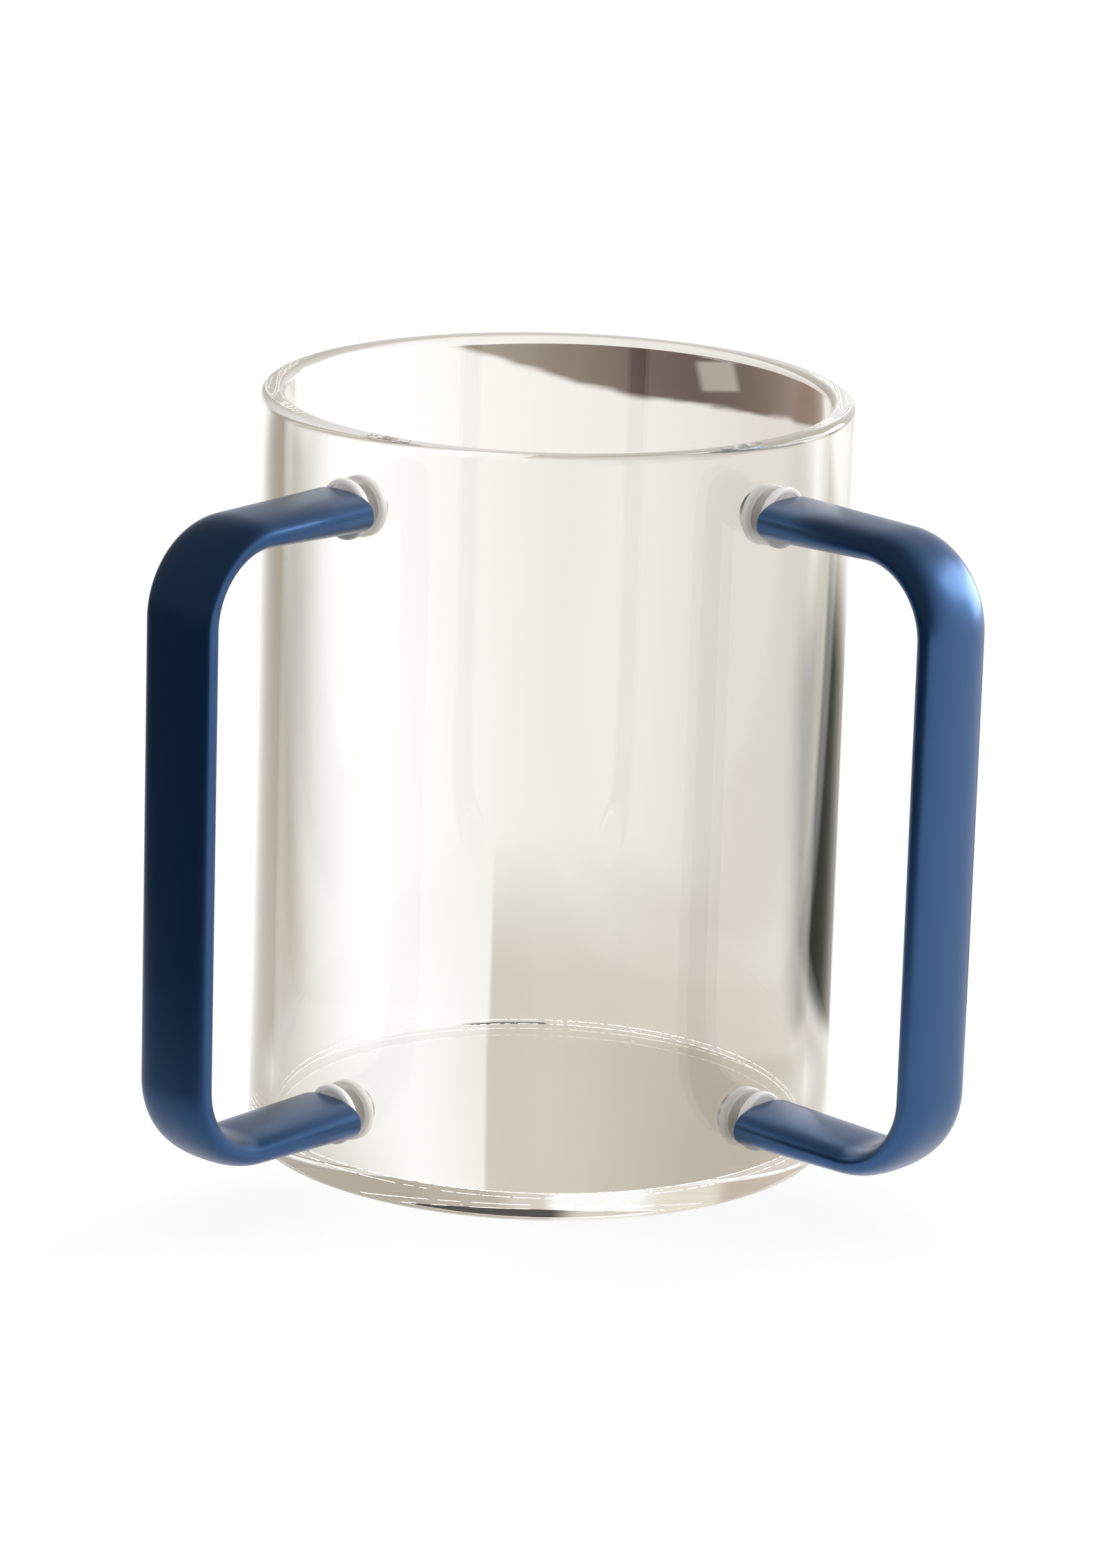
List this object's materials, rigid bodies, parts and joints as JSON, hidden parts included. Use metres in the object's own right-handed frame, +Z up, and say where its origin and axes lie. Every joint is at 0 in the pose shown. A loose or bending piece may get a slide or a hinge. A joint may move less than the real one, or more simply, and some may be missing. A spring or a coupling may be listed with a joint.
{
  "type": "hand-washing cup",
  "caption": "Clear cylindrical ritual hand-washing cup with D-shaped metal bar handles set a quarter turn apart and screwed through the wall.",
  "frame": {"origin": "centre of the cup's underside", "axes": "+Z up the cup's axis to the rim; the two handles stand to either side of -Y, 45 degrees each; +X to the right as the cup is seen from -Y, so the YZ plane mirrors one handle onto the other"},
  "size_m": [0.1346, 0.1173, 0.13],
  "materials": {
    "clear_acrylic": "polished, clear",
    "blue_anodised_aluminium": "satin, navy blue anodised",
    "clear_plastic_washer": "clear, slightly milky",
    "stainless_steel": "bright turned"
  },
  "bodies": {
    "root": {"cup_wall": "clear_acrylic", "cup_base": "clear_acrylic", "handle_left": "blue_anodised_aluminium", "handle_right": "blue_anodised_aluminium", "outer_washer_left_upper": "clear_plastic_washer", "inner_washer_left_upper": "clear_plastic_washer", "screw_left_upper": "stainless_steel", "outer_washer_left_lower": "clear_plastic_washer", "inner_washer_left_lower": "clear_plastic_washer", "screw_left_lower": "stainless_steel", "outer_washer_right_upper": "clear_plastic_washer", "inner_washer_right_upper": "clear_plastic_washer", "screw_right_upper": "stainless_steel", "outer_washer_right_lower": "clear_plastic_washer", "inner_washer_right_lower": "clear_plastic_washer", "screw_right_lower": "stainless_steel"}
  },
  "joints": []
}
